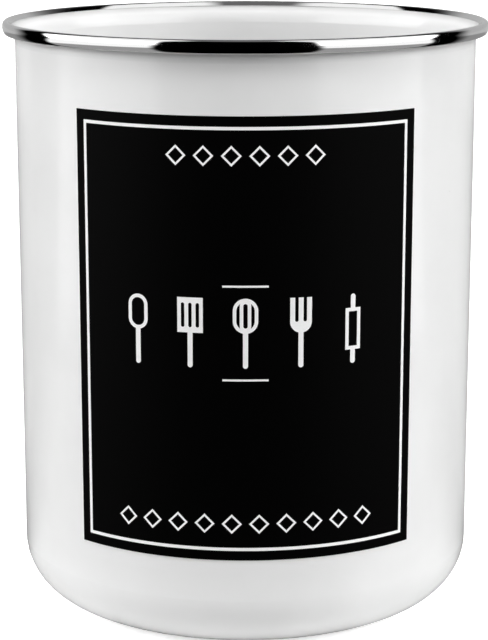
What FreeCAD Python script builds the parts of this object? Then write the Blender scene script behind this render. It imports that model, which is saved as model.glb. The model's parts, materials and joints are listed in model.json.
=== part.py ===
"""Enamelled steel utensil holder: a straight round pot with a rolled rim band and a printed label.

Frame: +Z is the pot's axis, Z = 0 is the face it stands on, and the label faces -Y.
All lengths are in millimetres and all angles in degrees.
"""
import FreeCAD, Part
import math
import os
import Sketcher
from FreeCAD import Vector

# Driving dimensions: one named cell each, with what it measures.
SIZES = {
    "body_radius": (62.5, "outside of the straight wall"),
    "overall_height": (160.0, "foot face to the top of the rim band"),
    "corner_radius": (15.5, "outside corner between foot and wall"),
    "steel_thickness": (0.6, "drawn steel sheet"),
    "coat_thickness": (0.2, "fired enamel, each side"),
    "flare_rise": (6.0, "start of the lip's flare, below the top of the band"),
    "flare_radius": (5.0, "bend of the lip, on its outside"),
    "flare_angle": (42.0, "lean of the lip from upright"),
    "lip_length": (1.5, "straight end of the lip after its bend"),
    "band_thickness": (0.35, "stainless strip of the rim band"),
    "band_stand_out": (3.3, "band beyond the straight wall"),
    "band_height": (3.45, "top of the band to its underside"),
    "band_leg_depth": (1.2, "top of the band to the end of its inner leg"),
    "band_crown_radius": (3.2, "crown of the band's outer face"),
    "band_crown_drop": (1.6, "top of the band to its widest level"),
    "band_foot_radius": (0.6, "turn under the band's outer face"),
    "band_clearance": (0.05, "between the band's tucked edge and the wall"),
    "label_low": (26.8, "foot face to the label's lower edge"),
    "label_height": (114.4, "label, top to bottom"),
    "label_width": (93.6, "label, measured round the wall"),
    "label_clearance": (0.05, "between the wall and the label"),
    "label_thickness": (0.12, "black ground of the label"),
    "print_thickness": (0.1, "white print on the ground"),
    "frame_inset": (2.6, "label's edge to the frame line"),
    "frame_line": (0.8, "width of the frame line"),
    "row_rise": (2.6, "middle of the label to the middle of the tool row"),
    "tool_height": (18.0, "each pictured tool, end to end"),
    "tool_spacing": (14.0, "from tool to tool round the wall"),
    "tool_grip": (9.0, "length of a pictured tool's handle"),
    "handle_width": (1.3, "handle of a pictured tool"),
    "stroke": (0.9, "width of a drawn line"),
    "spoon_width": (5.4, "bowl of the spoon"),
    "turner_width": (6.6, "blade of the turner"),
    "turner_border": (1.35, "blade above and below the turner's slots"),
    "slot_spacing": (1.9, "from slot to slot in the turner's blade"),
    "whisk_width": (6.4, "outer loop of the whisk"),
    "whisk_core_width": (2.9, "inner loop of the whisk"),
    "fork_width": (5.6, "head of the fork"),
    "roller_width": (4.2, "barrel of the rolling pin"),
    "roller_end": (3.6, "length of each of the rolling pin's ends"),
    "rule_width": (11.6, "short rules above and below the tool row"),
    "rule_line": (0.5, "thickness of a rule"),
    "rule_gap": (2.8, "tool row to a rule"),
    "ornament_height": (5.2, "each diamond, point to point"),
    "ornament_line": (0.5, "drawn line of a diamond"),
    "ornament_spacing": (7.0, "from diamond to diamond round the wall"),
    "ornament_inset": (9.8, "label's edge to the middle of a diamond row"),
    "top_ornaments": (6, "diamonds in the upper row"),
    "low_ornaments": (10, "diamonds in the lower row"),
}
# How far a cutting shape runs past what it cuts.
OVERCUT = 2.0
# Part of the crown's drop that the search for the band's top arc starts with.
CAP_GUESS = 0.58
# A square that stands on its point loses this much height for each unit of border inside it.
DIAMOND_GROWTH = 2 * math.sqrt(2)
# The labelled front of the pot, as an angle about the axis from +X.
FRONT = -90.0

# How a sketch numbers its upright and level axes, and the points of a line or an arc.
AXIS_LINE, LEVEL_LINE = range(-2, 0)
START, END, CENTRE = range(1, 4)
ORIGIN = (LEVEL_LINE, START)


class Size:
    """A value together with the sheet formula that keeps it up to date."""

    def __init__(self, value, formula):
        self.value = value
        self.formula = formula

    def __add__(self, other):
        other = plain(other)
        return Size(self.value + other.value, f"({self.formula} + {other.formula})")

    def __sub__(self, other):
        other = plain(other)
        return Size(self.value - other.value, f"({self.formula} - {other.formula})")

    def __mul__(self, factor):
        factor = plain(factor)
        return Size(self.value * factor.value, f"({self.formula} * {factor.formula})")

    def __truediv__(self, other):
        other = plain(other)
        return Size(self.value / other.value, f"({self.formula} / {other.formula})")


def plain(number):
    """A bare number as a Size, and a Size as it is."""
    return number if isinstance(number, Size) else Size(number, repr(float(number)))


def size(name):
    return Size(SIZES[name][0], f"sizes.{name}")


def bind(item, path, wanted):
    """Ties a property or a constraint to the sheet."""
    item.setExpression(path, wanted.formula)


def degrees_round_wall(arc):
    """The angle that an arc length covers on the straight wall."""
    return arc / size("body_radius") * (180.0 / math.pi)


doc = FreeCAD.newDocument("utensil_holder")
sheet = doc.addObject("Spreadsheet::Sheet", "sizes")
for row, (name, (value, note)) in enumerate(SIZES.items(), start=1):
    sheet.set(f"A{row}", name)
    sheet.set(f"B{row}", str(value))
    sheet.setAlias(f"B{row}", name)
    sheet.set(f"C{row}", note)
doc.recompute()


def new_body(name, turn=None):
    """A body named after its node, turned about the pot's axis where a turn is given."""
    body = doc.addObject("PartDesign::Body", name)
    body.Label = name
    body.AllowCompound = True
    if turn is not None:
        body.Placement = FreeCAD.Placement(Vector(0, 0, 0), FreeCAD.Rotation(Vector(0, 0, 1), turn.value))
        bind(body, "Placement.Rotation.Angle", turn)
    return body


def new_sketch(body, name, plane):
    """A sketch on one of the body's own origin planes; its second direction is always up."""
    sketch = body.newObject("Sketcher::SketchObject", f"{body.Name}_{name}")
    face = [feature for feature in body.Origin.OriginFeatures if feature.Role == plane][0]
    sketch.AttachmentSupport = [(face, "")]
    sketch.MapMode = "FlatFace"
    return sketch


def section_sketch(body, name):
    """Distance from the axis runs across the sketch."""
    return new_sketch(body, name, "XZ_Plane")


def front_sketch(body, name):
    """Drawn as the print is seen from the front."""
    return new_sketch(body, name, "YZ_Plane")


def add_line(sketch, start, end):
    return sketch.addGeometry(Part.LineSegment(Vector(*start, 0), Vector(*end, 0)))


def add_arc(sketch, centre, radius, start_angle, end_angle):
    circle = Part.Circle(Vector(*centre, 0), Vector(0, 0, 1), radius)
    return sketch.addGeometry(Part.ArcOfCircle(circle, math.radians(start_angle), math.radians(end_angle)))


def polar(centre, radius, angle):
    """The point at a radius and an angle in degrees from a centre."""
    return (
        centre[0] + radius * math.cos(math.radians(angle)),
        centre[1] + radius * math.sin(math.radians(angle)),
    )


def relate(sketch, kind, *where):
    sketch.addConstraint(Sketcher.Constraint(kind, *where))


def dimension(sketch, kind, where, wanted):
    """Adds a dimension and ties it to the sheet."""
    value = math.radians(wanted.value) if kind == "Angle" else wanted.value
    index = sketch.addConstraint(Sketcher.Constraint(kind, *where, value))
    bind(sketch, f"Constraints[{index}]", wanted)


def revolve(body, sketch, kind="PartDesign::Revolution", angle=None):
    """Turns a section about the pot's axis: all the way, or by an angle centred on the section."""
    feature = body.newObject(kind, f"{sketch.Name}_turned")
    feature.Profile = sketch
    feature.ReferenceAxis = (sketch, ["V_Axis"])
    feature.Angle = 360.0
    if angle is not None:
        feature.Midplane = True
        feature.Angle = angle.value
        bind(feature, "Angle", angle)
    body.Tip = feature
    return feature


# The wall's levels, measured inwards from the pot's outer surface.
STEEL_OUTSIDE = size("coat_thickness")
STEEL_INSIDE = STEEL_OUTSIDE + size("steel_thickness")
INNER_SURFACE = STEEL_INSIDE + size("coat_thickness")
FLARE_START = size("overall_height") - size("flare_rise")


def make_layer(name, outer, inner):
    """One layer of the pot's wall, as a closed section between two depths below its outer surface."""
    radius = size("body_radius").value
    corner = size("corner_radius").value
    bend = size("flare_radius").value
    lean = 180 - size("flare_angle").value
    corner_centre = (radius - corner, corner)
    flare_centre = (radius + bend, FLARE_START.value)
    body = new_body(name)
    sketch = section_sketch(body, "section")

    def side(depth):
        """Floor line, corner arc, wall line, flare arc and lip line at one depth."""
        bend_end = polar(flare_centre, bend + depth, lean)
        lip_end = polar(bend_end, size("lip_length").value, lean - 90)
        floor = add_line(sketch, (0, depth), (corner_centre[0], depth))
        turn = add_arc(sketch, corner_centre, corner - depth, -90, 0)
        wall = add_line(sketch, (radius - depth, corner), (radius - depth, flare_centre[1]))
        flare = add_arc(sketch, flare_centre, bend + depth, lean, 180)
        lip = add_line(sketch, bend_end, lip_end)
        relate(sketch, "Tangent", floor, END, turn, START)
        relate(sketch, "Tangent", turn, END, wall, START)
        relate(sketch, "Tangent", wall, END, flare, END)
        relate(sketch, "Tangent", flare, START, lip, START)
        relate(sketch, "PointOnObject", floor, START, AXIS_LINE)
        relate(sketch, "Horizontal", floor)
        return floor, turn, wall, flare, lip, lip_end

    floor_a, turn_a, wall_a, flare_a, lip_a, end_a = side(outer.value)
    floor_b, turn_b, wall_b, flare_b, lip_b, end_b = side(inner.value)
    lip_face = add_line(sketch, end_a, end_b)
    axis_edge = add_line(sketch, (0, inner.value), (0, outer.value))
    relate(sketch, "Coincident", lip_a, END, lip_face, START)
    relate(sketch, "Coincident", lip_face, END, lip_b, END)
    relate(sketch, "Coincident", floor_b, START, axis_edge, START)
    relate(sketch, "Coincident", axis_edge, END, floor_a, START)
    relate(sketch, "Vertical", wall_a)
    relate(sketch, "Parallel", lip_a, lip_b)
    relate(sketch, "Perpendicular", lip_a, lip_face)
    relate(sketch, "Coincident", turn_a, CENTRE, turn_b, CENTRE)
    relate(sketch, "Coincident", flare_a, CENTRE, flare_b, CENTRE)
    dimension(sketch, "DistanceX", (*ORIGIN, wall_a, START), size("body_radius") - outer)
    dimension(sketch, "DistanceY", (*ORIGIN, flare_a, CENTRE), FLARE_START)
    dimension(sketch, "Radius", (turn_a,), size("corner_radius") - outer)
    dimension(sketch, "Radius", (flare_a,), size("flare_radius") + outer)
    dimension(sketch, "Distance", (lip_a,), size("lip_length"))
    dimension(sketch, "Angle", (lip_a,), plain(90) - size("flare_angle"))
    dimension(sketch, "DistanceY", (*ORIGIN, floor_b, START), inner)
    if outer.value > 0:
        dimension(sketch, "DistanceY", (*ORIGIN, floor_a, START), outer)
    else:
        relate(sketch, "PointOnObject", floor_a, START, LEVEL_LINE)
    revolve(body, sketch)
    return body


def make_rim_band():
    """The stainless strip rolled over the lip, open below between its inner leg and its tucked edge."""
    strip = size("band_thickness").value
    top = size("overall_height").value
    lean = 180 - size("flare_angle").value
    flare_centre = (size("body_radius").value + size("flare_radius").value, FLARE_START.value)
    seat = size("flare_radius") + INNER_SURFACE
    widest = size("body_radius") + size("band_stand_out")
    crown_height = size("overall_height") - size("band_crown_drop")
    underside = size("overall_height") - size("band_height")
    foot_height = underside + size("band_foot_radius")
    leg_end_height = size("overall_height") - size("band_leg_depth")
    tuck_reach = size("flare_radius") - size("band_clearance")

    crown_radius = size("band_crown_radius").value
    foot_radius = size("band_foot_radius").value
    crown_centre = (widest.value - crown_radius, crown_height.value)
    foot_drop = crown_height.value - foot_height.value
    foot_centre = (
        crown_centre[0] + math.sqrt((crown_radius - foot_radius) ** 2 - foot_drop**2),
        foot_height.value,
    )
    foot_angle = -math.degrees(math.asin(foot_drop / (crown_radius - foot_radius)))
    # The top arc's radius follows from what it touches, so this is only where the search starts.
    top_radius = size("band_crown_drop").value * CAP_GUESS
    top_drop = top - top_radius - crown_centre[1]
    top_centre = (
        crown_centre[0] + math.sqrt((crown_radius - top_radius) ** 2 - top_drop**2),
        top - top_radius,
    )
    top_angle = math.degrees(math.asin(top_drop / (crown_radius - top_radius)))
    leg_length = (top - leg_end_height.value) / 2

    body = new_body("rim_band")
    sketch = section_sketch(body, "section")

    def side(depth):
        """Leg line, top arc, crown arc, foot arc and underside line at one depth in the strip."""
        leg_top = polar(top_centre, top_radius - depth, lean)
        leg_end = polar(leg_top, leg_length, lean + 90)
        leg = add_line(sketch, leg_end, leg_top)
        cap = add_arc(sketch, top_centre, top_radius - depth, top_angle, lean)
        crown = add_arc(sketch, crown_centre, crown_radius - depth, foot_angle, top_angle)
        foot = add_arc(sketch, foot_centre, foot_radius - depth, -90, foot_angle)
        under_height = underside.value + depth
        tuck = flare_centre[0] - math.sqrt(tuck_reach.value**2 - (under_height - flare_centre[1]) ** 2)
        under = add_line(sketch, (foot_centre[0], under_height), (tuck, under_height))
        relate(sketch, "Tangent", leg, END, cap, END)
        relate(sketch, "Tangent", cap, START, crown, END)
        relate(sketch, "Tangent", crown, START, foot, END)
        relate(sketch, "Tangent", foot, START, under, START)
        relate(sketch, "Horizontal", under)
        return leg, cap, crown, foot, under, leg_end, (tuck, under_height)

    leg_a, cap_a, crown_a, foot_a, under_a, leg_end_a, tuck_end_a = side(0)
    leg_b, cap_b, crown_b, foot_b, under_b, leg_end_b, tuck_end_b = side(strip)
    leg_face = add_line(sketch, leg_end_a, leg_end_b)
    tuck_face = add_line(sketch, tuck_end_a, tuck_end_b)
    flare = sketch.addGeometry(Part.Point(Vector(*flare_centre, 0)), True)
    crest = add_line(sketch, (crown_centre[0], top), (widest.value, top))
    sketch.setConstruction(crest, True)
    relate(sketch, "Horizontal", crest)
    relate(sketch, "Tangent", cap_a, crest)
    relate(sketch, "Coincident", leg_face, START, leg_a, START)
    relate(sketch, "Coincident", leg_face, END, leg_b, START)
    relate(sketch, "Coincident", tuck_face, START, under_a, END)
    relate(sketch, "Coincident", tuck_face, END, under_b, END)
    relate(sketch, "Perpendicular", leg_a, leg_face)
    relate(sketch, "Vertical", tuck_face)
    relate(sketch, "Parallel", leg_a, leg_b)
    relate(sketch, "Coincident", cap_a, CENTRE, cap_b, CENTRE)
    relate(sketch, "Coincident", crown_a, CENTRE, crown_b, CENTRE)
    relate(sketch, "Coincident", foot_a, CENTRE, foot_b, CENTRE)
    dimension(sketch, "DistanceX", (*ORIGIN, flare, START), size("body_radius") + size("flare_radius"))
    dimension(sketch, "DistanceY", (*ORIGIN, flare, START), FLARE_START)
    dimension(sketch, "Angle", (leg_a,), plain(90) - size("flare_angle"))
    dimension(sketch, "Distance", (flare, START, leg_b), seat)
    dimension(sketch, "Distance", (flare, START, leg_a), seat + size("band_thickness"))
    dimension(sketch, "DistanceY", (*ORIGIN, leg_a, START), leg_end_height)
    dimension(sketch, "DistanceY", (*ORIGIN, crest, START), size("overall_height"))
    dimension(sketch, "Radius", (crown_a,), size("band_crown_radius"))
    dimension(sketch, "DistanceX", (*ORIGIN, crown_a, CENTRE), widest - size("band_crown_radius"))
    dimension(sketch, "DistanceY", (*ORIGIN, crown_a, CENTRE), crown_height)
    dimension(sketch, "Radius", (foot_a,), size("band_foot_radius"))
    dimension(sketch, "DistanceY", (*ORIGIN, under_a, START), underside)
    dimension(sketch, "Distance", (flare, START, under_b, END), tuck_reach)
    revolve(body, sketch)
    return body


LABEL_BACK = size("body_radius") + size("label_clearance")
GROUND_FACE = LABEL_BACK + size("label_thickness")
PRINT_FACE = GROUND_FACE + size("print_thickness")
LABEL_HIGH = size("label_low") + size("label_height")
ROW_MIDDLE = size("label_low") + size("label_height") / 2 + size("row_rise")
ROW_LOW = ROW_MIDDLE - size("tool_height") / 2
ROW_HIGH = ROW_LOW + size("tool_height")
GRIP_TOP = ROW_LOW + size("tool_grip")


def draw_polygon(sketch, points):
    """Closed straight outline; each edge starts at the point of the same number."""
    count = len(points)
    edges = [add_line(sketch, points[i], points[(i + 1) % count]) for i in range(count)]
    for i in range(count):
        relate(sketch, "Coincident", edges[i], END, edges[(i + 1) % count], START)
    return edges


def draw_block(sketch, left, right, low, high):
    """An upright rectangle with both sides to the right of the sketch's middle line."""
    points = [
        (left.value, low.value),
        (right.value, low.value),
        (right.value, high.value),
        (left.value, high.value),
    ]
    edges = draw_polygon(sketch, points)
    for edge, kind in zip(edges, ("Horizontal", "Vertical", "Horizontal", "Vertical")):
        relate(sketch, kind, edge)
    dimension(sketch, "DistanceY", (*ORIGIN, edges[0], START), low)
    dimension(sketch, "DistanceY", (*ORIGIN, edges[2], START), high)
    dimension(sketch, "DistanceX", (*ORIGIN, edges[0], START), left)
    dimension(sketch, "DistanceX", (*ORIGIN, edges[1], START), right)


def draw_centred_block(sketch, low, high, width):
    """An upright rectangle on the sketch's middle line."""
    half = width.value / 2
    points = [(-half, low.value), (half, low.value), (half, high.value), (-half, high.value)]
    edges = draw_polygon(sketch, points)
    for edge, kind in zip(edges[1:], ("Vertical", "Horizontal", "Vertical")):
        relate(sketch, kind, edge)
    relate(sketch, "Symmetric", edges[0], START, edges[0], END, AXIS_LINE)
    dimension(sketch, "DistanceY", (*ORIGIN, edges[0], START), low)
    dimension(sketch, "DistanceY", (*ORIGIN, edges[2], START), high)
    dimension(sketch, "DistanceX", (edges[0], START, edges[0], END), width)


def draw_diamond(sketch, middle, height):
    """A square on its point, on the sketch's middle line."""
    half = height.value / 2
    points = [(0, middle.value - half), (half, middle.value), (0, middle.value + half), (-half, middle.value)]
    low, right, high, left = draw_polygon(sketch, points)
    relate(sketch, "PointOnObject", low, START, AXIS_LINE)
    relate(sketch, "PointOnObject", high, START, AXIS_LINE)
    relate(sketch, "Symmetric", right, START, left, START, AXIS_LINE)
    dimension(sketch, "DistanceY", (*ORIGIN, low, START), middle - height / 2)
    dimension(sketch, "DistanceY", (*ORIGIN, high, START), middle + height / 2)
    dimension(sketch, "DistanceY", (*ORIGIN, right, START), middle)
    dimension(sketch, "DistanceX", (*ORIGIN, right, START), height / 2)


def draw_slot(sketch, low, high, width, aside=None):
    """An upright outline with round ends, on the middle line or a distance to each side of it."""
    half = width / 2
    places = (0,) if aside is None else (-1, 1)
    for place in places:
        across = place * aside.value if place else 0
        low_centre = (across, low.value + half.value)
        high_centre = (across, high.value - half.value)
        left_edge = across - half.value
        right_edge = across + half.value
        foot = add_arc(sketch, low_centre, half.value, 180, 360)
        right = add_line(sketch, (right_edge, low_centre[1]), (right_edge, high_centre[1]))
        head = add_arc(sketch, high_centre, half.value, 0, 180)
        left = add_line(sketch, (left_edge, high_centre[1]), (left_edge, low_centre[1]))
        relate(sketch, "Tangent", foot, END, right, START)
        relate(sketch, "Tangent", right, END, head, START)
        relate(sketch, "Tangent", head, END, left, START)
        relate(sketch, "Tangent", left, END, foot, START)
        relate(sketch, "Vertical", right)
        dimension(sketch, "Radius", (foot,), half)
        dimension(sketch, "DistanceY", (*ORIGIN, foot, CENTRE), low + half)
        dimension(sketch, "DistanceY", (*ORIGIN, head, CENTRE), high - half)
        if place == 0:
            relate(sketch, "PointOnObject", foot, CENTRE, AXIS_LINE)
        elif place > 0:
            dimension(sketch, "DistanceX", (*ORIGIN, foot, CENTRE), aside)
        else:
            dimension(sketch, "DistanceX", (foot, CENTRE, *ORIGIN), aside)


def add_print(body, name, *outlines):
    """Pads outlines from the axis out past the print's face; each is a drawing function and its sizes."""
    return extrude(body, name, "PartDesign::Pad", PRINT_FACE + OVERCUT, outlines)


def cut_print(body, name, *outlines):
    """Cuts outlines through what add_print made."""
    pocket = extrude(body, name, "PartDesign::Pocket", PRINT_FACE + OVERCUT * 2, outlines)
    pocket.Reversed = True
    return pocket


def extrude(body, name, kind, length, outlines):
    sketch = front_sketch(body, name)
    for draw, *sizes in outlines:
        draw(sketch, *sizes)
    feature = body.newObject(kind, f"{sketch.Name}_{kind.split('::')[1].lower()}")
    feature.Profile = sketch
    feature.Length = length.value
    bind(feature, "Length", length)
    body.Tip = feature
    return feature


def trim_to_skin(body, low, high):
    """Leaves only the thin skin of a print between the label's face and its own."""
    sketch = section_sketch(body, "skin")
    floor = low - OVERCUT
    roof = high + OVERCUT
    draw_block(sketch, plain(0), GROUND_FACE, floor, roof)
    draw_block(sketch, PRINT_FACE, PRINT_FACE + OVERCUT * 2, floor, roof)
    revolve(body, sketch, "PartDesign::Groove")


def make_plate(name, width, low, height, inner, outer):
    """A thin plate bent round the front of the wall, between two radii."""
    body = new_body(name, plain(FRONT))
    sketch = section_sketch(body, "section")
    draw_block(sketch, inner, outer, low, low + height)
    revolve(body, sketch, angle=degrees_round_wall(width))
    return body


def make_label_frame():
    """The frame line: a plate with the plate inside the line cut out of it."""
    inset = size("frame_inset")
    line = size("frame_line")
    low = size("label_low") + inset
    width = size("label_width") - inset * 2
    height = size("label_height") - inset * 2
    body = make_plate("label_frame", width, low, height, GROUND_FACE, PRINT_FACE)
    sketch = section_sketch(body, "window")
    draw_block(sketch, GROUND_FACE - OVERCUT, PRINT_FACE + OVERCUT, low + line, low + height - line)
    revolve(body, sketch, "PartDesign::Groove", degrees_round_wall(width - line * 2))
    return body


def add_handle(body):
    """A handle that runs on into the head, whose hollow is cut afterwards."""
    add_print(body, "handle", (draw_slot, ROW_LOW, GRIP_TOP + size("handle_width"), size("handle_width")))


def draw_spoon(body):
    line = size("stroke")
    width = size("spoon_width")
    add_print(body, "bowl", (draw_slot, GRIP_TOP, ROW_HIGH, width))
    add_handle(body)
    cut_print(body, "hollow", (draw_slot, GRIP_TOP + line, ROW_HIGH - line, width - line * 2))


def draw_turner(body):
    line = size("stroke")
    border = size("turner_border")
    slot_low = GRIP_TOP + border
    slot_high = ROW_HIGH - border
    add_print(body, "blade", (draw_centred_block, GRIP_TOP, ROW_HIGH, size("turner_width")))
    add_handle(body)
    cut_print(
        body,
        "slots",
        (draw_slot, slot_low, slot_high, line),
        (draw_slot, slot_low, slot_high, line, size("slot_spacing")),
    )


def draw_whisk(body):
    line = size("stroke")
    width = size("whisk_width")
    core = size("whisk_core_width")
    core_low = GRIP_TOP + line / 2
    core_high = ROW_HIGH - line / 2
    add_print(body, "loop", (draw_slot, GRIP_TOP, ROW_HIGH, width))
    add_handle(body)
    cut_print(body, "hollow", (draw_slot, GRIP_TOP + line, ROW_HIGH - line, width - line * 2))
    add_print(body, "core", (draw_slot, core_low, core_high, core))
    cut_print(body, "core_hollow", (draw_slot, core_low + line, core_high - line, core - line * 2))


def draw_fork(body):
    line = size("stroke")
    width = size("fork_width")
    square_low = GRIP_TOP + width / 2
    add_print(body, "head", (draw_slot, GRIP_TOP, ROW_HIGH, width))
    add_print(body, "tips", (draw_centred_block, square_low, ROW_HIGH, width))
    add_handle(body)
    # Three equal tines and two gaps of one line each: the gaps' middles lie this far out.
    gap_place = (width + line) / 6
    cut_print(body, "gaps", (draw_slot, square_low, ROW_HIGH + line, line, gap_place))


def draw_rolling_pin(body):
    line = size("stroke")
    low = ROW_LOW + size("roller_end")
    high = ROW_HIGH - size("roller_end")
    width = size("roller_width")
    add_print(body, "grips", (draw_slot, ROW_LOW, ROW_HIGH, size("handle_width")))
    add_print(body, "barrel", (draw_centred_block, low, high, width))
    cut_print(body, "hollow", (draw_centred_block, low + line, high - line, width - line * 2))


def make_tool(name, draw, place):
    """One pictured tool, a number of spacings round from the middle of the label."""
    body = new_body(name, degrees_round_wall(size("tool_spacing")) * place + FRONT)
    draw(body)
    trim_to_skin(body, ROW_LOW, ROW_HIGH)
    return body


def make_ornament_row(name, count, middle):
    """A centred row of open diamonds round the wall."""
    height = size("ornament_height")
    step = degrees_round_wall(size("ornament_spacing"))
    body = new_body(name, plain(FRONT) - step * (count - 1) / 2)
    hollow = height - size("ornament_line") * DIAMOND_GROWTH
    diamond = add_print(body, "diamond", (draw_diamond, middle, height), (draw_diamond, middle, hollow))
    row = body.newObject("PartDesign::PolarPattern", f"{name}_row")
    row.Originals = [diamond]
    row.Axis = ([feature for feature in body.Origin.OriginFeatures if feature.Role == "Z_Axis"][0], [""])
    row.Mode = "Spacing"
    row.Offset = step.value
    row.Occurrences = int(count.value)
    bind(row, "Offset", step)
    bind(row, "Occurrences", count)
    body.Tip = row
    trim_to_skin(body, middle - height / 2, middle + height / 2)
    return body


TOOLS = [
    ("print_spoon", draw_spoon),
    ("print_turner", draw_turner),
    ("print_whisk", draw_whisk),
    ("print_fork", draw_fork),
    ("print_rolling_pin", draw_rolling_pin),
]

parts = [
    make_layer("enamel_outside", plain(0), STEEL_OUTSIDE),
    make_layer("steel_shell", STEEL_OUTSIDE, STEEL_INSIDE),
    make_layer("enamel_inside", STEEL_INSIDE, INNER_SURFACE),
    make_rim_band(),
    make_plate(
        "label_panel",
        size("label_width"),
        size("label_low"),
        size("label_height"),
        LABEL_BACK,
        GROUND_FACE,
    ),
    make_label_frame(),
]
for number, (name, draw) in enumerate(TOOLS):
    parts.append(make_tool(name, draw, number - (len(TOOLS) - 1) / 2))
for name, low in (
    ("rule_upper", ROW_HIGH + size("rule_gap")),
    ("rule_lower", ROW_LOW - size("rule_gap") - size("rule_line")),
):
    parts.append(make_plate(name, size("rule_width"), low, size("rule_line"), GROUND_FACE, PRINT_FACE))
for name, count, middle in (
    ("ornament_top", size("top_ornaments"), LABEL_HIGH - size("ornament_inset")),
    ("ornament_bottom", size("low_ornaments"), size("label_low") + size("ornament_inset")),
):
    parts.append(make_ornament_row(name, count, middle))

doc.recompute()
for item in doc.Objects:
    if "Invalid" in item.State or "Error" in item.State:
        raise RuntimeError(f"{item.Name} did not build: {item.State}")
for body in parts:
    if body.Shape.isNull() or not body.Shape.isValid():
        raise RuntimeError(f"{body.Label} has no valid shape")

os.makedirs("parts", exist_ok=True)
for body in parts:
    shape = body.Shape
    shape.exportStep(f"parts/{body.Label}.step")
    heights = f"z {shape.BoundBox.ZMin:.2f} to {shape.BoundBox.ZMax:.2f}"
    print(f"{body.Label}: {len(shape.Solids)} solids, {shape.Volume:.1f} mm3, {heights}")
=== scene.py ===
# %% [markdown]
# # Enamelled utensil holder
# This lesson dresses a straight enamelled steel pot: a deep-drawn steel cup, dipped in white
# enamel inside and out, with a polished band rolled over its lip and a black label fired onto its
# front. The construction model is the frame of the scene, and it is loaded first.

# %% Load the construction model
import json
import math

import bmesh
import bpy
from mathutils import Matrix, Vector


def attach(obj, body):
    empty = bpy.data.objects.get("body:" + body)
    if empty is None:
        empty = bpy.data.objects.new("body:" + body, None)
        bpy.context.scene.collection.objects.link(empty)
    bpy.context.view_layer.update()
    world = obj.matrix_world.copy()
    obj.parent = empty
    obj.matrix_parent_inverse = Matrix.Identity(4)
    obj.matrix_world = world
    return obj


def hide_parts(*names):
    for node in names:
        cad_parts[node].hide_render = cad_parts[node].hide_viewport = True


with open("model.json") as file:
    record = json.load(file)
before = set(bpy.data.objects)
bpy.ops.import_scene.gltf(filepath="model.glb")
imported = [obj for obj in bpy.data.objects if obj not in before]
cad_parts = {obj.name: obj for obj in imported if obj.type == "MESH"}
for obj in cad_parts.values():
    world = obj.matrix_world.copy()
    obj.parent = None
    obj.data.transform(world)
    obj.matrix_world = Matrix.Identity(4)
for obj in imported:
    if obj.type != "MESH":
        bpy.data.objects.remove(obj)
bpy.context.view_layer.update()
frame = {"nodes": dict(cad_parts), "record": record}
NODES = frame["nodes"]
SLOTS = {row["node"]: row["material_slot"] for row in frame["record"]["subparts"]}
MM = 0.001
print("nodes:", sorted(NODES))

# %% [markdown]
# ## Camera
# A product photograph is taken from a little above with a long lens, which keeps the sides of a
# straight pot nearly parallel. The distance and the tilt were found by matching the pot's edges,
# and they are written here as plain numbers. The long side of the picture is upright, so the
# sensor width counts along its height.

# %% Camera
CAMERA_PLACE = Vector((-0.00038, -0.5682, 0.2056))
CAMERA_TILT = 0.2245
CAMERA_LENS = 116.7
SENSOR_LONG_SIDE = 36.0
NEAREST_SEEN = 0.01
FARTHEST_SEEN = 50.0

lens = bpy.data.cameras.new("camera")
lens.sensor_width = SENSOR_LONG_SIDE
lens.lens = CAMERA_LENS
lens.clip_start = NEAREST_SEEN
lens.clip_end = FARTHEST_SEEN
camera = bpy.data.objects.new("camera", lens)
camera.location = CAMERA_PLACE
camera.rotation_euler = (math.pi / 2 - CAMERA_TILT, 0.0, 0.0)
bpy.context.scene.collection.objects.link(camera)
bpy.context.scene.camera = camera
bpy.context.scene.view_settings.view_transform = "Standard"
print("camera at", tuple(round(v, 4) for v in camera.location))

# %% [markdown]
# ## Small helpers for node trees
# Materials and the studio are built from nodes. Wiring them by hand is wordy, so a few short
# helpers add a node and join what feeds it: a number is typed into the socket, and an output is
# linked to it. A line of such calls then reads much like a formula.

# %% Add a node and feed it
def put(node, name, value):
    """Types a value into an input, or links an output to it."""
    socket = node.inputs[name]
    if isinstance(value, bpy.types.NodeSocket):
        node.id_data.links.new(value, socket)
    else:
        socket.default_value = value


def add(tree, kind, settings=None, **inputs):
    """Adds a node. Inputs go by name, or as in_0, in_1 and so on where names repeat."""
    node = tree.nodes.new(kind)
    for name, value in (settings or {}).items():
        setattr(node, name, value)
    for name, value in inputs.items():
        put(node, int(name[3:]) if name.startswith("in_") else name.replace("_", " "), value)
    return node


print("helpers that add nodes are ready")

# %% Nodes that calculate
def calc(tree, operation, *values):
    """One Math node; returns its output."""
    inputs = {f"in_{i}": value for i, value in enumerate(values)}
    return add(tree, "ShaderNodeMath", {"operation": operation}, **inputs).outputs[0]


def product(tree, first, *others):
    """Multiplies values one after another."""
    for value in others:
        first = calc(tree, "MULTIPLY", first, value)
    return first


def ramp(tree, value, low, high, start=0.0, end=1.0):
    """Goes smoothly from start to end while value goes from low to high."""
    return add(
        tree,
        "ShaderNodeMapRange",
        {"interpolation_type": "SMOOTHSTEP"},
        Value=value,
        From_Min=low,
        From_Max=high,
        To_Min=start,
        To_Max=end,
    ).outputs[0]


def blend(tree, share, first, second):
    """The first number where share is 0, and the second where it is 1."""
    return add(
        tree, "ShaderNodeMix", {"data_type": "FLOAT"}, in_0=share, in_2=first, in_3=second
    ).outputs[0]


print("helpers that calculate are ready")

# %% Nodes for places, distances and greys
def axes_of(tree, vector):
    """Splits a vector; returns its X, Y and Z."""
    split = add(tree, "ShaderNodeSeparateXYZ", Vector=vector).outputs
    return split["X"], split["Y"], split["Z"]


def length_of(tree, vector):
    """How long a vector is."""
    return add(tree, "ShaderNodeVectorMath", {"operation": "LENGTH"}, in_0=vector).outputs["Value"]


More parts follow.
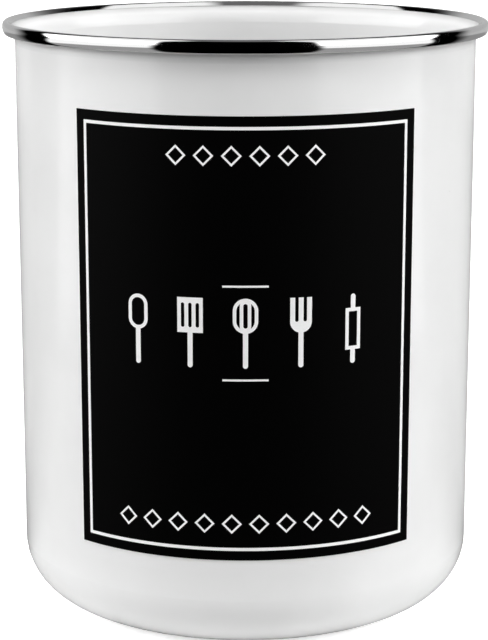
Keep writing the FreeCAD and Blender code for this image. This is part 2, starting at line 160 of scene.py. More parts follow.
def object_place(tree):
    """The place on the object, in metres."""
    return add(tree, "ShaderNodeTexCoord").outputs["Object"]


def grey(tree, value):
    """Makes a neutral colour of one value."""
    return add(tree, "ShaderNodeCombineColor", Red=value, Green=value, Blue=value).outputs[0]


print("helpers for places and greys are ready")

# %% [markdown]
# A node group is a small tree with named inputs and outputs, built once and placed wherever it is
# needed. Its sockets are made on the group's interface before anything is wired to them.

# %% Node groups
def new_group(name, inputs, outputs):
    """An empty group. Inputs and outputs are names with their kind, such as Vector or Float."""
    group = bpy.data.node_groups.new(name, "ShaderNodeTree")
    for label, kind in inputs:
        group.interface.new_socket(label, in_out="INPUT", socket_type="NodeSocket" + kind)
    for label, kind in outputs:
        group.interface.new_socket(label, in_out="OUTPUT", socket_type="NodeSocket" + kind)
    return group, group.nodes.new("NodeGroupInput").outputs, group.nodes.new("NodeGroupOutput")


def place_group(tree, group, **inputs):
    """Places a group in a tree; returns its outputs."""
    return add(tree, "ShaderNodeGroup", {"node_tree": group}, **inputs).outputs


print("group helpers are ready")

# %% [markdown]
# ## Studio
# Polished metal and glossy enamel show what stands round them more than they show themselves. A
# photographer sets a tall soft box to the left and one to the right, and hangs black cloth in
# front, where the camera stands, and just behind each soft box. The black front gives the rim its
# dark band and leaves the middle of the pot a little darker than its sides. The boxes lean back,
# so high up the cloth behind them starts further round. Overhead they do not meet, and a dim
# ceiling shows in the gap, which is the grey in the middle of the far side of the rim.
#
# This could be done with lamps and cards. The world is used here, because only directions matter
# for so small an object, and because its edges stay where they are put. Both the sky and the
# floor below need to know where the soft boxes are, so one node group measures the turn away from
# the front and says how much of the soft boxes and of the back wall lies that way.

# %% Where the soft boxes and the cloth are
BOX_START = math.radians(38)
BOX_END = math.radians(98)
BOX_EDGE = math.radians(2.5)
BACK_START = math.radians(125)
BACK_EDGE = math.radians(9)
STUDIO_TURN = math.radians(4)
LEAN = math.radians(30)
GAP_MIDDLE = -0.06
GAP_NARROW = 0.13
GAP_WIDE = 0.27
GAP_LOW = 0.86
GAP_HIGH = 0.93

studio_plan, given, result = new_group(
    "studio_plan",
    [("Direction", "Vector")],
    [("Softbox", "Float"), ("Back", "Float"), ("Aside", "Float")],
)
right, away, up = axes_of(studio_plan, given["Direction"])
turn = calc(studio_plan, "ARCTAN2", right, calc(studio_plan, "MULTIPLY", away, -1.0))
aside = calc(studio_plan, "ABSOLUTE", calc(studio_plan, "ADD", turn, STUDIO_TURN))
lean = calc(studio_plan, "MULTIPLY", calc(studio_plan, "MAXIMUM", up, 0.0), LEAN)
leaned = calc(studio_plan, "SUBTRACT", aside, lean)
opening = ramp(studio_plan, aside, BOX_START - BOX_EDGE, BOX_START + BOX_EDGE)
closing = ramp(studio_plan, leaned, BOX_END - BOX_EDGE, BOX_END + BOX_EDGE, 1.0, 0.0)
sideways = calc(studio_plan, "ABSOLUTE", calc(studio_plan, "SUBTRACT", right, GAP_MIDDLE))
gap = ramp(studio_plan, sideways, GAP_NARROW, GAP_WIDE)
gap = calc(studio_plan, "MAXIMUM", gap, ramp(studio_plan, up, GAP_LOW, GAP_HIGH, 1.0, 0.0))
put(result, "Softbox", product(studio_plan, opening, closing, gap))
put(result, "Back", ramp(studio_plan, leaned, BACK_START - BACK_EDGE, BACK_START + BACK_EDGE))
put(result, "Aside", aside)
print("soft boxes from", round(math.degrees(BOX_START)), "degrees aside")
print("soft boxes to", round(math.degrees(BOX_END)), "degrees aside")

# %% [markdown]
# The sky answers three questions. Rays that light a matt surface get a smooth glow from both
# sides and from high up behind. The side glow is strongest a little above level, so that the rim
# shades the middle of the wall below it, and it fades before it comes from behind, so that a side
# that is seen straight on does not burn out to white.

# %% Glow for matt surfaces
SIDE_NEAR = 0.5
SIDE_FAR = 9.5
SIDE_FROM = math.radians(43)
SIDE_FULL = math.radians(78)
SIDE_FADES = math.radians(80)
SIDE_GONE = math.radians(104)
LEVEL_SHARE = 0.6
LEVEL_TOP = 0.25
SIDE_TOP_FROM = 0.42
SIDE_TOP_TO = 0.72
SIDE_TOP_SHARE = 0.08
BACK_GLOW = 3.2
BACK_LOW_SHARE = 0.3
BACK_RISE_FROM = 0.25
BACK_RISE_TO = 0.5

world = bpy.data.worlds.new("studio")
bpy.context.scene.world = world
world.use_nodes = True
sky = world.node_tree
sky.nodes.clear()
direction = add(sky, "ShaderNodeTexCoord").outputs["Generated"]
up = axes_of(sky, direction)[2]
plan = place_group(sky, studio_plan, Direction=direction)
side_glow = product(
    sky,
    ramp(sky, plan["Aside"], SIDE_FROM, SIDE_FULL, SIDE_NEAR, SIDE_FAR),
    ramp(sky, plan["Aside"], SIDE_FADES, SIDE_GONE, 1.0, 0.0),
    ramp(sky, up, 0.0, LEVEL_TOP, LEVEL_SHARE, 1.0),
    ramp(sky, up, SIDE_TOP_FROM, SIDE_TOP_TO, 1.0, SIDE_TOP_SHARE),
)
back_low = BACK_LOW_SHARE * BACK_GLOW
back_rise = ramp(sky, up, BACK_RISE_FROM, BACK_RISE_TO, back_low, BACK_GLOW)
back_glow = calc(sky, "MULTIPLY", plan["Back"], back_rise)
matt_light = calc(sky, "ADD", side_glow, back_glow)
print("side glow", SIDE_FAR, "and back glow", BACK_GLOW)

# %% [markdown]
# Mirror rays see the crisp soft boxes, black cloth between them, the back wall as a grey and the
# dim ceiling. Rays from the camera see plain white, which is a strength of 1. So the shading and
# the reflections come from two different studios, each matched to the picture, and neither is
# the white that stands behind the pot. The light is put together as a grey of the right
# brightness, and it colours a background of strength 1.

# %% What mirror rays and the camera see
BOX_LOW = 3.0
BOX_HIGH = 1.1
BOX_DIMS_FROM = 0.3
BOX_DIMS_TO = 0.6
WALL_LOW = 0.5
WALL_HIGH = 0.08
WALL_DIMS_FROM = 0.34
WALL_DIMS_TO = 0.6
CEILING_GREY = 0.16
BACKGROUND_WHITE = 1.0

box_light = ramp(sky, up, BOX_DIMS_FROM, BOX_DIMS_TO, BOX_LOW, BOX_HIGH)
box_light = calc(sky, "MULTIPLY", plan["Softbox"], box_light)
wall_light = ramp(sky, up, WALL_DIMS_FROM, WALL_DIMS_TO, WALL_LOW, WALL_HIGH)
wall_light = calc(sky, "MULTIPLY", plan["Back"], wall_light)
ceiling_light = ramp(sky, up, GAP_LOW, GAP_HIGH, 0.0, CEILING_GREY)
mirror_light = calc(sky, "MAXIMUM", calc(sky, "ADD", box_light, wall_light), ceiling_light)

rays = add(sky, "ShaderNodeLightPath").outputs
mirror_ray = calc(sky, "MAXIMUM", rays["Is Glossy Ray"], rays["Is Transmission Ray"])
sky_light = blend(sky, mirror_ray, matt_light, mirror_light)
sky_light = blend(sky, rays["Is Camera Ray"], sky_light, BACKGROUND_WHITE)
background = add(sky, "ShaderNodeBackground", Color=grey(sky, sky_light), Strength=1.0)
add(sky, "ShaderNodeOutputWorld", Surface=background.outputs[0])
print("soft boxes", BOX_LOW, "low down and", BOX_HIGH, "high up")

# %% [markdown]
# A large lamp hangs high in front. It fills the inside of the pot and lights the front from so
# steep an angle that the rim band shades the wall below it, which is the soft grey under the rim.
# Its mirror image is switched off, which a photographer does with crossed polarising sheets.

# %% Lamp above the front
LAMP_RISE = math.radians(68)
LAMP_DISTANCE = 1.0
LAMP_SIZE = 0.5
LAMP_POWER = 5.3
LAMP_TARGET = Vector((0.0, 0.0, 0.1))

panel = bpy.data.lights.new("lamp_above", "AREA")
panel.shape = "DISK"
panel.size = LAMP_SIZE
panel.energy = LAMP_POWER
lamp = bpy.data.objects.new("lamp_above", panel)
toward_lamp = Vector((0.0, -math.cos(LAMP_RISE), math.sin(LAMP_RISE)))
lamp.location = LAMP_TARGET + toward_lamp * LAMP_DISTANCE
lamp.rotation_euler = toward_lamp.to_track_quat("Z", "Y").to_euler()
lamp.visible_camera = False
lamp.visible_glossy = False
bpy.context.scene.collection.objects.link(lamp)
print("lamp above at", tuple(round(v, 3) for v in lamp.location))

# %% [markdown]
# ## Floor
# The pot stands on a wide white sheet. Rays from the camera see it white, with the soft shadow
# round the foot, and it lends them some white of its own, so that it runs into the background.
# The light that it throws back up comes mostly from close to the foot, and none comes from under
# the black cloth in front. A real sheet throws back as much as it shows: these shares are set to
# match the shading low on the pot.

# %% The sheet under the pot
FLOOR_HALF = 6.0

floor_mesh = bpy.data.meshes.new("floor")
sheet = bmesh.new()
bmesh.ops.create_grid(sheet, x_segments=2, y_segments=2, size=FLOOR_HALF)
sheet.to_mesh(floor_mesh)
sheet.free()
floor = bpy.data.objects.new("floor", floor_mesh)
bpy.context.scene.collection.objects.link(floor)
print("floor", 2 * FLOOR_HALF, "m wide")

# %% The sheet as the camera and matt surfaces get it
SHEET_WHITE = 0.8
SHEET_LENT = 0.55
BOUNCE_NEAR = 0.85
BOUNCE_FAR = 0.20
BOUNCE_NEAR_REACH = 62 * MM
BOUNCE_FAR_REACH = 85 * MM
CLOTH_SHADOW_START = 80 * MM
CLOTH_SHADOW_FULL = 160 * MM

white_sheet = bpy.data.materials.new("white_sheet")
white_sheet.use_nodes = True
tree = white_sheet.node_tree
tree.nodes.clear()
place = object_place(tree)
reach = length_of(tree, place)
plan = place_group(tree, studio_plan, Direction=place)
rays = add(tree, "ShaderNodeLightPath").outputs

# Painted shadow: in front, from a little way off the foot, the sheet throws back no light, as
# under the black cloth.
in_front = calc(tree, "SUBTRACT", 1.0, calc(tree, "MAXIMUM", plan["Softbox"], plan["Back"]))
cloth = calc(tree, "MULTIPLY", in_front, ramp(tree, reach, CLOTH_SHADOW_START, CLOTH_SHADOW_FULL))
# Painted light: close to the foot the sheet throws back far more light than further out.
bounce = ramp(tree, reach, BOUNCE_NEAR_REACH, BOUNCE_FAR_REACH, BOUNCE_NEAR, BOUNCE_FAR)
bounce = calc(tree, "MULTIPLY", calc(tree, "SUBTRACT", 1.0, cloth), bounce)
sheet_shade = blend(tree, rays["Is Camera Ray"], bounce, SHEET_WHITE)
sheet_diffuse = add(tree, "ShaderNodeBsdfDiffuse", Color=grey(tree, sheet_shade)).outputs[0]
lent = calc(tree, "MULTIPLY", rays["Is Camera Ray"], SHEET_LENT)
sheet_lent = add(tree, "ShaderNodeEmission", Color=grey(tree, lent)).outputs[0]
sheet_seen = add(tree, "ShaderNodeAddShader", in_0=sheet_diffuse, in_1=sheet_lent).outputs[0]
print("sheet:", SHEET_WHITE, "seen,", BOUNCE_FAR, "to", BOUNCE_NEAR, "thrown back")

# %% [markdown]
# Mirror rays see the sheet as the studio lights it: black in front, grey close to the pot, and
# white further out under the soft boxes.

# %% The sheet as mirror rays see it
BOX_SHEET_NEAR = 0.37
BOX_SHEET_FAR = 1.2
BOX_SHEET_FROM = 0.36
BOX_SHEET_TO = 0.44
BACK_SHEET_NEAR = 0.3
BACK_SHEET_FAR = 0.55
BACK_SHEET_FROM = 0.9
BACK_SHEET_TO = 1.4

box_sheet = ramp(tree, reach, BOX_SHEET_FROM, BOX_SHEET_TO, BOX_SHEET_NEAR, BOX_SHEET_FAR)
box_sheet = calc(tree, "MULTIPLY", plan["Softbox"], box_sheet)
back_sheet = ramp(tree, reach, BACK_SHEET_FROM, BACK_SHEET_TO, BACK_SHEET_NEAR, BACK_SHEET_FAR)
back_sheet = calc(tree, "MULTIPLY", plan["Back"], back_sheet)
mirrored = calc(tree, "ADD", box_sheet, back_sheet)
sheet_mirrored = add(tree, "ShaderNodeEmission", Color=grey(tree, mirrored)).outputs[0]
mirror_ray = calc(tree, "MAXIMUM", rays["Is Glossy Ray"], rays["Is Transmission Ray"])
sheet_all = add(
    tree, "ShaderNodeMixShader", in_0=mirror_ray, in_1=sheet_seen, in_2=sheet_mirrored
)
add(tree, "ShaderNodeOutputMaterial", Surface=sheet_all.outputs[0])
floor_mesh.materials.append(white_sheet)
print("sheet in mirrors:", BOX_SHEET_NEAR, "near and", BOX_SHEET_FAR, "further out")

# %% [markdown]
# ## Effects shared by several finishes
# The pot has few materials, and they have much in common, because they went through the same kiln
# and the same hands. Each shared effect is a group that reads the place on the object and gives
# back a number from 0 to 1. The material decides what the number does.
#
# Enamel is glass that flowed while it was hot. Its face is smooth, but never as flat as a pane: it
# keeps a soft ripple, a few millimetres from crest to crest. The prints lie on it and follow it.

# %% Soft ripple
RIPPLE_DETAIL = 1.0


def noise(tree, vector, scale, detail, roughness=0.5):
    """Soft noise of about 0.5; scale counts features in a metre."""
    return add(
        tree, "ShaderNodeTexNoise", Vector=vector, Scale=scale, Detail=detail, Roughness=roughness
    ).outputs[0]


soft_ripple, given, result = new_group(
    "soft_ripple", [("Place", "Vector"), ("Size", "Float")], [("Ripple", "Float")]
)
per_metre = calc(soft_ripple, "DIVIDE", 1.0, given["Size"])
put(result, "Ripple", noise(soft_ripple, given["Place"], per_metre, RIPPLE_DETAIL))
print("made", soft_ripple.name)

# %% [markdown]
# A thing that is picked up, washed and put down every day carries marks that show only as a change
# in gloss: hairlines, a tenth of a millimetre wide and some millimetres long, and faint smudges
# the size of a fingertip. A hairline is drawn here as the contour of a stretched noise: the thin
# band where the noise passes through its middle value. A second noise keeps only some of them.

# %% Hairlines
HAIRLINE_TURNS = (0.5, 1.9, -0.8)
HAIRLINE_TILT = 0.7
HAIRLINE_SHIFT = 0.1
HAIRLINE_STRETCH = 9.0
HAIRLINE_SCALE = 40.0
HAIRLINE_WIDTH = 0.008
NOISE_MIDDLE = 0.5
PATCH_SCALE = 55.0
PATCH_FROM = 0.55
PATCH_TO = 0.68

handling_marks, given, result = new_group(
    "handling_marks", [("Place", "Vector")], [("Hairlines", "Float"), ("Smudges", "Float")]
)
hairlines = 0.0
for number, angle in enumerate(HAIRLINE_TURNS):
    turned = add(
        handling_marks,
        "ShaderNodeMapping",
        Vector=given["Place"],
        Location=(HAIRLINE_SHIFT * number, 0.0, 0.0),
        Rotation=(angle, HAIRLINE_TILT * angle, angle),
        Scale=(1.0, HAIRLINE_STRETCH, HAIRLINE_STRETCH),
    ).outputs[0]
    drawn = noise(handling_marks, turned, HAIRLINE_SCALE, 0.0)
    off_middle = calc(handling_marks, "SUBTRACT", drawn, NOISE_MIDDLE)
    off_middle = calc(handling_marks, "ABSOLUTE", off_middle)
    thin = ramp(handling_marks, off_middle, 0.0, HAIRLINE_WIDTH, 1.0, 0.0)
    patch = noise(handling_marks, turned, PATCH_SCALE, 1.0)
    patch = ramp(handling_marks, patch, PATCH_FROM, PATCH_TO)
    hairlines = calc(handling_marks, "MAXIMUM", hairlines, product(handling_marks, thin, patch))
put(result, "Hairlines", hairlines)
print("made", len(HAIRLINE_TURNS), "sets of hairlines")

# %% Smudges
SMUDGE_SCALE = 45.0
SMUDGE_DETAIL = 3.0
SMUDGE_ROUGHNESS = 0.6
SMUDGE_FROM = 0.5
SMUDGE_TO = 0.72

smudges = noise(handling_marks, given["Place"], SMUDGE_SCALE, SMUDGE_DETAIL, SMUDGE_ROUGHNESS)
put(result, "Smudges", ramp(handling_marks, smudges, SMUDGE_FROM, SMUDGE_TO))
print("made", handling_marks.name)

# %% [markdown]
# Steel that turns against a polishing wheel, or is drawn over a punch, keeps fine lines in the
# direction of the work. On the band they run round the pot. The group follows the turn slowly and
# the radius and the height quickly, which draws the noise out into long rings. Four dimensions are
# needed for that: two for the turn, and one each for the radius and the height.

# %% Polish lines
LINES_DETAIL = 3.0
LINES_ROUGHNESS = 0.65

polish_lines, given, result = new_group(
    "polish_lines",
    [("Place", "Vector"), ("Round", "Float"), ("Across", "Float")],
    [("Lines", "Float")],
)
right, away, up = axes_of(polish_lines, given["Place"])
flat = add(polish_lines, "ShaderNodeCombineXYZ", X=right, Y=away).outputs[0]
radius = length_of(polish_lines, flat)
part_round = calc(polish_lines, "DIVIDE", given["Round"], radius)
lines_place = add(
    polish_lines,
    "ShaderNodeCombineXYZ",
    X=calc(polish_lines, "MULTIPLY", right, part_round),
    Y=calc(polish_lines, "MULTIPLY", away, part_round),
    Z=calc(polish_lines, "MULTIPLY", radius, given["Across"]),
).outputs[0]
lines = add(
    polish_lines,
    "ShaderNodeTexNoise",
    {"noise_dimensions": "4D"},
    Vector=lines_place,
    W=calc(polish_lines, "MULTIPLY", up, given["Across"]),
    Scale=1.0,
    Detail=LINES_DETAIL,
    Roughness=LINES_ROUGHNESS,
)
put(result, "Lines", lines.outputs[0])
print("made", polish_lines.name)

# %% [markdown]
# Both label colours are ceramic inks, printed through a fine screen and fired. The screen leaves a
# grain of about a quarter of a millimetre, and here and there a pinhole where the ink did not
# close. Cells of a Voronoi texture give the pinholes: the distance to the middle of a cell is
# small only in a dot, and a random colour for each cell says which cells have one.

# %% Print grain
GRAIN_SCALE = 3800.0
GRAIN_DETAIL = 1.0
PINHOLE_CELLS = 260.0
PINHOLE_SIZE = 0.045
PINHOLE_SHARE = 0.12
DOT_CORE = 0.6


def dots(tree, vector, cells, size, share):
    """Small round dots, one in each chosen cell; cells counts them in a metre."""
    cell = add(tree, "ShaderNodeTexVoronoi", Vector=vector, Scale=cells).outputs
    chosen = calc(tree, "LESS_THAN", axes_of(tree, cell["Color"])[0], share)
    return product(tree, ramp(tree, cell["Distance"], DOT_CORE * size, size, 1.0, 0.0), chosen)


print_grain, given, result = new_group(
    "print_grain", [("Place", "Vector")], [("Grain", "Float"), ("Pinholes", "Float")]
)
place = given["Place"]
put(result, "Grain", noise(print_grain, place, GRAIN_SCALE, GRAIN_DETAIL))
put(result, "Pinholes", dots(print_grain, place, PINHOLE_CELLS, PINHOLE_SIZE, PINHOLE_SHARE))
print("made", print_grain.name)

# %% [markdown]
# ## White enamel
# The coat is opaque white glass. It is not one flat white: the dip leaves it thinner here and
# there, which shows as very faint clouds, and gas bubbles leave a few pits finer than a pinhead.
# The foot is duller than the wall, because it slides on the counter.
#
# The colour could come from an image, but numbers worked out from the place on the pot have no
# seam and no resolution. The inside and the flared lip are written greyer than the wall, as
# painted
# shade, which the real coat need not be: they face the strong side light and the lamp, and would
# burn out to white. This is a shortcut, and it makes the inside look grey from above. Less light,
# with one white for the whole coat, would be the better way.

# %% Start of a material
def new_material(name):
    """A material with one Principled shader, and the place on the object to work from."""
    material = bpy.data.materials.new(name)
    material.use_nodes = True
    tree = material.node_tree
    tree.nodes.clear()
    shader = add(tree, "ShaderNodeBsdfPrincipled")
    add(tree, "ShaderNodeOutputMaterial", Surface=shader.outputs[0])
    return material, tree, shader, object_place(tree)


def raise_surface(tree, shader, height, depth):
    """Bumps a surface: depth in metres is what a height of 1 stands above a height of 0."""
    bump = add(tree, "ShaderNodeBump", Strength=1.0, Distance=depth, Height=height)
    put(shader, "Normal", bump.outputs[0])


def total(tree, start, *shares):
    """Adds to a number its share of each effect, given as pairs of effect and share."""
    for effect, share in shares:
        start = calc(tree, "MULTIPLY_ADD", effect, share, start)
    return start


print("material helpers are ready")

# %% Colour of the enamel
WALL_WHITE = 0.86
# Painted shade: the inside coat is written darker than the wall, because the strong light would
# burn it out to white.
INSIDE_PAINTED_SHADE = 0.68
# Painted shade: the flared lip faces the side light and the lamp, and is written darker still.
LIP_PAINTED_SHADE = 0.56
LIP_FROM = 156.8 * MM
LIP_TO = 158.4 * MM
CLOUD_SCALE = 32.0
CLOUD_DETAIL = 3.0
CLOUD_ROUGHNESS = 0.55
CLOUD_FROM = 0.4
CLOUD_TO = 0.7
CLOUD_SHADE = 0.035
PIT_CELLS = 170.0
PIT_SIZE = 0.032
PIT_SHARE = 0.07
PIT_SHADE = 0.35


def enamel_colour(tree, place, up, pits, white):
    """White glass, clouded where it is thin and pitted, with painted shade that greys the lip."""
    clouds = noise(tree, place, CLOUD_SCALE, CLOUD_DETAIL, CLOUD_ROUGHNESS)
    clouds = ramp(tree, clouds, CLOUD_FROM, CLOUD_TO)
    thin = total(tree, 1.0, (clouds, -CLOUD_SHADE), (pits, -PIT_SHADE))
    # Painted shade: the white goes darker over the flared lip, between the two lip heights.
    shade = ramp(tree, up, LIP_FROM, LIP_TO, white, LIP_PAINTED_SHADE)
    return grey(tree, product(tree, shade, thin))


print("enamel", WALL_WHITE, "outside,", INSIDE_PAINTED_SHADE, "inside and", LIP_PAINTED_SHADE, "on the lip")

# %% Gloss of the enamel
ENAMEL_GLOSS = 0.10
HAIRLINES_DULL = 0.10
SMUDGES_DULL = 0.05
FOOT_DULLS = 0.28
PITS_DULL = 0.3
FOOT_WORN = 0.6 * MM
FOOT_SOUND = 3.0 * MM
WEAR_SCALE = 300.0
WEAR_DETAIL = 3.0
WEAR_FROM = 0.35
WEAR_TO = 0.6


def enamel_gloss(tree, place, up, pits):
    """Nearly mirror smooth, dulled by marks, pits and the wear of the foot."""
    marks = place_group(tree, handling_marks, Place=place)
    worn_edge = ramp(tree, up, FOOT_WORN, FOOT_SOUND, 1.0, 0.0)
    wear = ramp(tree, noise(tree, place, WEAR_SCALE, WEAR_DETAIL), WEAR_FROM, WEAR_TO)
    return total(
        tree,
        ENAMEL_GLOSS,
        (marks["Hairlines"], HAIRLINES_DULL),
        (marks["Smudges"], SMUDGES_DULL),
        (calc(tree, "MULTIPLY", worn_edge, wear), FOOT_DULLS),
        (pits, PITS_DULL),
    )


print("enamel gloss", ENAMEL_GLOSS, "and", ENAMEL_GLOSS + FOOT_DULLS, "at the worn foot")

# %% White enamel, outside and inside
ENAMEL_RIPPLE = 5.5 * MM
ENAMEL_RIPPLE_DEPTH = 0.012 * MM


def make_enamel(name, white):
    """White vitreous enamel; white is its shade on the wall, and for the inside coat a darker
    white that is painted shade.
    """
    material, tree, shader, place = new_material(name)
    up = axes_of(tree, place)[2]
    pits = dots(tree, place, PIT_CELLS, PIT_SIZE, PIT_SHARE)
    put(shader, "Base Color", enamel_colour(tree, place, up, pits, white))
    put(shader, "Roughness", enamel_gloss(tree, place, up, pits))
    ripple = place_group(tree, soft_ripple, Place=place, Size=ENAMEL_RIPPLE)["Ripple"]
    raise_surface(tree, shader, total(tree, ripple, (pits, -1.0)), ENAMEL_RIPPLE_DEPTH)
    return material


enamel_outside = make_enamel("white_enamel_outside", WALL_WHITE)
# The inside coat is a copy of the same enamel with painted shade, a darker white.
enamel_inside = make_enamel("white_enamel_inside", INSIDE_PAINTED_SHADE)
print("made", enamel_outside.name, "and", enamel_inside.name)

# %% [markdown]
# ## Polished stainless
# The band is the brightest thing on the pot, and it is nearly a mirror. What tells it from a
# perfect one is small: rings from the polishing wheel that are far finer than a hair, a surface
# that waves a few thousandths of a millimetre from the rolling, and the hairlines of use. So the
# shader stays sharp, and these only tilt and dull it by a trace.

# %% Polished stainless
STEEL_BRIGHT = 0.77
STEEL_LINES_SHADE = 0.04
STEEL_GLOSS = 0.035
STEEL_LINES_DULL = 0.03
STEEL_HAIRLINES_DULL = 0.12
STEEL_SMUDGES_DULL = 0.03
BAND_ROUND = 14.0
BAND_ACROSS = 9000.0
BAND_WAVE = 9.0 * MM
BAND_DEPTH = 0.004 * MM
BAND_LINES_SHARE = 0.03

polished_steel, tree, shader, place = new_material("polished_stainless")
lines = place_group(tree, polish_lines, Place=place, Round=BAND_ROUND, Across=BAND_ACROSS)["Lines"]
marks = place_group(tree, handling_marks, Place=place)
put(shader, "Base Color", grey(tree, total(tree, STEEL_BRIGHT, (lines, STEEL_LINES_SHADE))))
put(shader, "Metallic", 1.0)
roughness = total(
    tree,
    STEEL_GLOSS,
    (lines, STEEL_LINES_DULL),
    (marks["Hairlines"], STEEL_HAIRLINES_DULL),
    (marks["Smudges"], STEEL_SMUDGES_DULL),
)
put(shader, "Roughness", roughness)
wave = place_group(tree, soft_ripple, Place=place, Size=BAND_WAVE)["Ripple"]
raise_surface(tree, shader, total(tree, wave, (lines, BAND_LINES_SHARE)), BAND_DEPTH)
print("made", polished_steel.name)

# %% [markdown]
# ## Drawn steel
# The cup under the enamel is deep-drawn sheet. It is hidden by its coats, and it still gets its
# own finish, because someone may take the pot apart. The punch pulls the metal upwards, so its
# lines run up the wall: the pattern changes quickly with the turn and slowly with the height.

# %% Drawn steel
CUP_ROUND = 420.0
CUP_ACROSS = 60.0
CUP_LINES_FROM = 0.3
CUP_LINES_TO = 0.7
CUP_DARK = 0.36
CUP_LIGHT = 0.56
CUP_GLOSS = 0.24
CUP_LINES_DULL = 0.16
CUP_SMUDGES_DULL = 0.12
CUP_LINES_DEPTH = 0.01 * MM

drawn_steel, tree, shader, place = new_material("drawn_steel")
lines = place_group(tree, polish_lines, Place=place, Round=CUP_ROUND, Across=CUP_ACROSS)["Lines"]
marks = place_group(tree, handling_marks, Place=place)
shade = ramp(tree, lines, CUP_LINES_FROM, CUP_LINES_TO, CUP_DARK, CUP_LIGHT)
put(shader, "Base Color", grey(tree, shade))
put(shader, "Metallic", 1.0)
roughness = total(
    tree, CUP_GLOSS, (lines, CUP_LINES_DULL), (marks["Smudges"], CUP_SMUDGES_DULL)
)
put(shader, "Roughness", roughness)
raise_surface(tree, shader, lines, CUP_LINES_DEPTH)
print("made", drawn_steel.name)

# %% [markdown]
# ## Fired prints
# The black is a matt ceramic ink: it swallows nearly all light, and shows its grain only where a
# lamp grazes it. Its shade is matched to the picture, and is darker than real inks are. The white
# is the same kind of ink over the black, the whitest thing on the pot,
# with a little of the black showing through where the grain is thin. Both follow the ripple of the
# enamel that they were fired onto. Wear works the other way round than on glass: a matt ink is
# polished by what rubs it, so hairlines and smudges make it a little glossier.

# %% A fired ink
GRAIN_DULLS = 0.12
SMUDGES_POLISH = 0.05
HAIRLINES_POLISH = 0.15
PRINT_DEPTH = 0.006 * MM
GRAIN_HEIGHT = 0.12


def make_print(name, shade, grain_share, pinhole_share, roughness, sheen):
    """Fired ceramic ink; the shares say how much grain and pinholes change its shade."""
    material, tree, shader, place = new_material(name)
    screen = place_group(tree, print_grain, Place=place)
    marks = place_group(tree, handling_marks, Place=place)
    ripple = place_group(tree, soft_ripple, Place=place, Size=ENAMEL_RIPPLE)["Ripple"]
    ink = total(tree, shade, (screen["Grain"], grain_share), (screen["Pinholes"], pinhole_share))
    put(shader, "Base Color", grey(tree, ink))
    dull = total(
        tree,
        roughness,
        (screen["Grain"], GRAIN_DULLS),
        (marks["Smudges"], -SMUDGES_POLISH),
        (marks["Hairlines"], -HAIRLINES_POLISH),
    )
    put(shader, "Roughness", dull)
    put(shader, "Specular IOR Level", sheen)
    raise_surface(tree, shader, total(tree, ripple, (screen["Grain"], GRAIN_HEIGHT)), PRINT_DEPTH)
    return material


print("fired ink is", PRINT_DEPTH / MM, "mm rough")

# %% Black and white print
BLACK_SHADE = 0.0006
BLACK_GRAIN = 0.0006
BLACK_PINHOLES = 0.004
BLACK_DULL = 0.42
BLACK_SHEEN = 0.02
WHITE_SHADE = 0.99
WHITE_GRAIN = -0.07
WHITE_PINHOLES = -0.5
WHITE_DULL = 0.38
WHITE_SHEEN = 0.3

black_print = make_print(
    "black_print", BLACK_SHADE, BLACK_GRAIN, BLACK_PINHOLES, BLACK_DULL, BLACK_SHEEN
)
white_print = make_print(
    "white_print", WHITE_SHADE, WHITE_GRAIN, WHITE_PINHOLES, WHITE_DULL, WHITE_SHEEN
)
print("made", black_print.name, "and", white_print.name)

# %% [markdown]
# ## The pieces that keep their shape
# The steel cup, its coats and the prints have the right shape in the construction model. They keep
# their meshes and get their finishes through the object's own material slots, so that the loaded
# meshes stay as they are.

# %% Give the finishes to the pieces
FINISHES = {
    "white_enamel": enamel_outside,
    "polished_stainless": polished_steel,
    "black_print": black_print,
    "white_print": white_print,
    "drawn_steel": drawn_steel,
}
for name, node in NODES.items():
    # The inside coat gets its copy with painted shade.
    finish = enamel_inside if name == "enamel_inside" else FINISHES[SLOTS[name]]
    for slot in node.material_slots:
        slot.link = "OBJECT"
        slot.material = finish
    print(name, "has", finish.name)

# %% [markdown]
# ## Rim band
# On the real pot this is a strip of stainless steel, a third of a millimetre thick. It is rolled
# over the flared lip on a wheel: it starts just inside the mouth, goes over the lip in a tight
# curl, bulges outwards and is pressed back in below the lip, where it grips.
#
# The construction model has the band as a plain turned solid with coarse facets, and facets show
# at once in a mirror. It could be smoothed, but its section is only three arcs, so it is turned
# again here, finely: the section is drawn as a chain of edges, each arc spun about its own centre,
# the chain is spun about the pot's axis, and the sheet gets its thickness last. The chain is the
# band's outer face, in millimetres from the pot's axis and from the counter.

# %% Helpers that draw a section
def line_to(section, corner, place):
    """Draws a straight edge from a corner and returns the new corner."""
    made = bmesh.ops.extrude_vert_indiv(section, verts=[corner])
    made["verts"][0].co = place * MM
    return made["verts"][0]


def arc_from(section, corner, centre, degrees, steps):
    """Carries a corner round a centre, leaving edges behind it, and returns the last corner."""
    made = bmesh.ops.spin(
        section,
        geom=[corner],
        cent=centre * MM,
        axis=(0, 1, 0),
        angle=math.radians(degrees),
        steps=steps,
    )
    return [item for item in made["geom_last"] if isinstance(item, bmesh.types.BMVert)][0]


print("section helpers are ready")

# %% Section of the rim band
LEG_END = Vector((63.277, 0.0, 158.8))
LEG_TOP = Vector((64.0813, 0.0, 159.6931))
TUCK_END = Vector((63.4885, 0.0, 156.55))
# Each arc: its centre, how far it turns in degrees, and its number of edges.
BAND_ARCS = [
    (Vector((64.7706, 0.0, 159.0724)), 120.788, 14),
    (Vector((62.6, 0.0, 158.4)), 45.947, 12),
    (Vector((64.8798, 0.0, 157.15)), 61.264, 8),
]

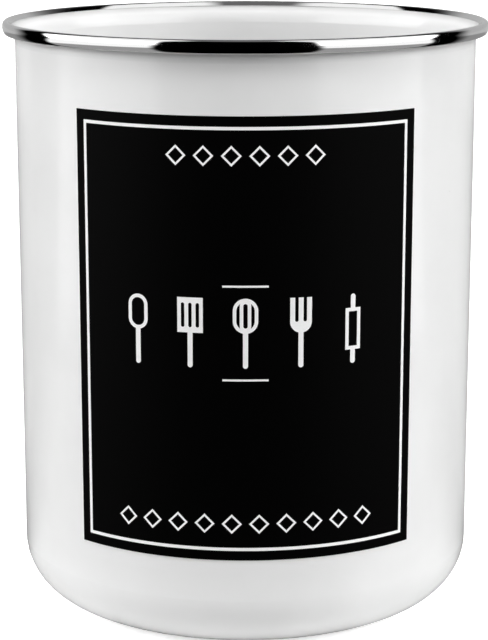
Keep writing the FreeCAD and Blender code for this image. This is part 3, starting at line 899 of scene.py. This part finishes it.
band = bmesh.new()
corner = bmesh.ops.create_vert(band, co=LEG_END * MM)["vert"][0]
corner = line_to(band, corner, LEG_TOP)
for centre, degrees, steps in BAND_ARCS:
    corner = arc_from(band, corner, centre, degrees, steps)
print("foot of the last arc:", tuple(round(v / MM, 3) for v in corner.co))
line_to(band, corner, TUCK_END)
print("section:", len(band.edges), "edges")

# %% [markdown]
# The full turn is closed by merging its last column with its first. Doubles are merged and the
# normals recalculated while the sheet is still a single skin, because on a closed shell that would
# turn the inner wall round. Only then does it get its thickness, inwards from the outer face.

# %% Turn the rim band
BAND_STEPS = 288
STRIP = 0.35 * MM
MERGE = 0.001 * MM

bmesh.ops.spin(
    band,
    geom=band.verts[:] + band.edges[:],
    cent=(0, 0, 0),
    axis=(0, 0, 1),
    angle=math.tau,
    steps=BAND_STEPS,
    use_merge=True,
)
bmesh.ops.remove_doubles(band, verts=band.verts, dist=MERGE)
bmesh.ops.recalc_face_normals(band, faces=band.faces)
bmesh.ops.solidify(band, geom=band.faces[:], thickness=STRIP)
for face in band.faces:
    face.smooth = True
open_edges = sum(1 for edge in band.edges if not edge.is_manifold)
print("band faces", len(band.faces), "and open edges", open_edges)

# %% [markdown]
# The band now becomes an object. It rides on the pot's one body, the solid that it replaces is
# hidden, and it gets the polished stainless finish. Smooth shading hides the fine facets, and
# edges that turn by more than a set angle stay sharp, which are the rims of the strip.

# %% The rim band as a piece
SHARP_EDGE = math.radians(35)

band_mesh = bpy.data.meshes.new("rolled_band")
band.to_mesh(band_mesh)
band.free()
band_mesh.set_sharp_from_angle(angle=SHARP_EDGE)
band_mesh.materials.append(polished_steel)
rolled_band = bpy.data.objects.new("rolled_band", band_mesh)
bpy.context.scene.collection.objects.link(rolled_band)
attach(rolled_band, "root")
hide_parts("rim_band")
radii = [math.hypot(vert.co.x, vert.co.y) / MM for vert in band_mesh.vertices]
heights = [vert.co.z / MM for vert in band_mesh.vertices]
print("band radius", round(min(radii), 3), "to", round(max(radii), 3), "mm")
print("band height", round(min(heights), 3), "to", round(max(heights), 3), "mm")
